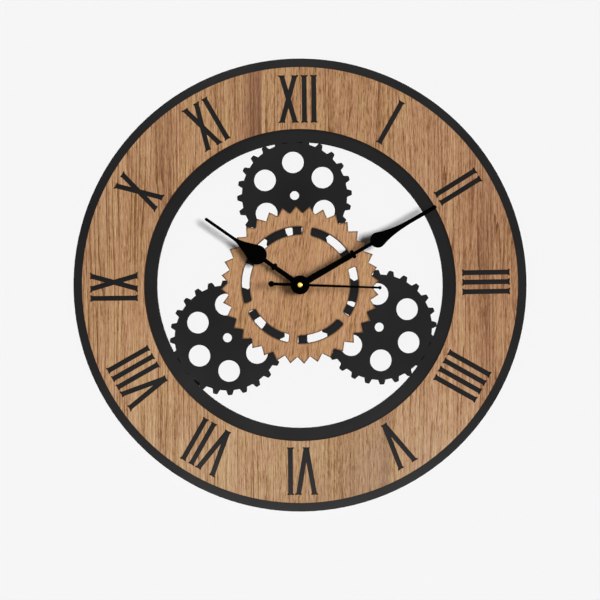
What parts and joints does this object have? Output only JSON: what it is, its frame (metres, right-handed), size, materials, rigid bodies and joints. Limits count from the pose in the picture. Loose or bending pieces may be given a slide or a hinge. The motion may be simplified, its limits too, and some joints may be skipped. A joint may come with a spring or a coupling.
{
  "type": "wall clock",
  "caption": "Round wall clock with a black gear-pattern board, an oak dial ring with cut Roman numerals, an oak saw-toothed wheel, spade hands and a quartz movement behind.",
  "frame": {"origin": "where the hand axis meets the wall, on the rear face of the movement's cover", "axes": "+Z to twelve o'clock, +X to three o'clock as the viewer sees it, +Y into the wall, dial facing -Y"},
  "size_m": [0.4999, 0.0399, 0.5],
  "materials": {
    "black_board": "black lacquered fibreboard",
    "oak_dial": "oiled oak veneer, straight grain",
    "oak_gear": "oiled oak veneer, fine grain",
    "black_enamel": "black enamel on aluminium sheet",
    "polished_brass": "polished",
    "turned_brass": "turned",
    "black_rubber": "moulded",
    "case_plastic": "fine spark texture",
    "acetal": "moulded, self-coloured",
    "acetal_dark": "moulded, self-coloured",
    "steel": "drawn",
    "ferrite": "sintered",
    "knob_plastic": "moulded",
    "stator_iron": "stamped",
    "copper_winding": "enamelled wire",
    "circuit_laminate": "solder mask",
    "chip_resin": "cast resin",
    "battery_jacket": "printed film",
    "contact_strip": "nickel plated"
  },
  "bodies": {
    "clock_body": {"back_board": "black_board", "dial_ring": "oak_dial", "centre_gear": "oak_gear", "threaded_bush": "turned_brass", "rubber_washer": "black_rubber", "brass_washer": "turned_brass", "lock_nut": "turned_brass", "movement_case": "case_plastic", "rear_cover": "case_plastic", "stator": "stator_iron", "coil_core": "stator_iron", "coil": "copper_winding", "circuit_board": "circuit_laminate", "crystal_can": "steel", "chip_cover": "chip_resin", "battery": "battery_jacket", "positive_contact": "contact_strip", "negative_contact": "contact_strip"},
    "second_group": {"second_hand": "black_enamel", "second_cap": "polished_brass", "second_arbor": "steel", "second_wheel": "acetal"},
    "minute_group": {"minute_hand": "black_enamel", "minute_pipe": "acetal_dark"},
    "hour_group": {"hour_hand": "black_enamel", "hour_wheel": "acetal"},
    "centre_wheel_body": {"centre_wheel": "acetal"},
    "third_wheel_body": {"third_wheel": "acetal"},
    "relay_wheel_body": {"relay_wheel": "acetal"},
    "rotor": {"rotor_pinion": "acetal_dark", "rotor_magnet": "ferrite"},
    "motion_wheel_body": {"motion_wheel": "acetal"},
    "knob": {"setting_knob": "knob_plastic"}
  },
  "joints": [
    {"name": "minute_spin", "type": "hinge", "parent": "clock_body", "child": "minute_group", "pos_m": [0, 0, 0], "axis": [0, 1, 0], "continuous": true},
    {"name": "hour_spin", "type": "hinge", "parent": "clock_body", "child": "hour_group", "pos_m": [0, 0, 0], "axis": [0, 1, 0], "continuous": true},
    {"name": "motion_spin", "type": "hinge", "parent": "clock_body", "child": "motion_wheel_body", "pos_m": [0.00902, 0, 0.00328], "axis": [0, 1, 0], "continuous": true},
    {"name": "knob_spin", "type": "hinge", "parent": "clock_body", "child": "knob", "pos_m": [0.01772, 0, 0.00734], "axis": [0, 1, 0], "continuous": true},
    {"name": "second_spin", "type": "hinge", "parent": "clock_body", "child": "second_group", "pos_m": [0, 0, 0], "axis": [0, 1, 0], "continuous": true},
    {"name": "third_spin", "type": "hinge", "parent": "clock_body", "child": "third_wheel_body", "pos_m": [-0.00883, 0, 0.0051], "axis": [0, 1, 0], "continuous": true},
    {"name": "centre_spin", "type": "hinge", "parent": "clock_body", "child": "centre_wheel_body", "pos_m": [0, 0, 0], "axis": [0, 1, 0], "continuous": true},
    {"name": "relay_spin", "type": "hinge", "parent": "clock_body", "child": "relay_wheel_body", "pos_m": [0.00188, 0, 0.01064], "axis": [0, 1, 0], "continuous": true},
    {"name": "rotor_spin", "type": "hinge", "parent": "clock_body", "child": "rotor", "pos_m": [0.00562, 0, 0.01711], "axis": [0, 1, 0], "continuous": true}
  ],
  "couplings": [
    {"joint": "motion_spin", "follows": "minute_spin", "ratio": -0.33333},
    {"joint": "hour_spin", "follows": "minute_spin", "ratio": 0.083333},
    {"joint": "knob_spin", "follows": "minute_spin", "ratio": 1},
    {"joint": "third_spin", "follows": "second_spin", "ratio": -0.13333},
    {"joint": "centre_spin", "follows": "second_spin", "ratio": 0.016667},
    {"joint": "relay_spin", "follows": "second_spin", "ratio": -4},
    {"joint": "rotor_spin", "follows": "second_spin", "ratio": 30}
  ]
}
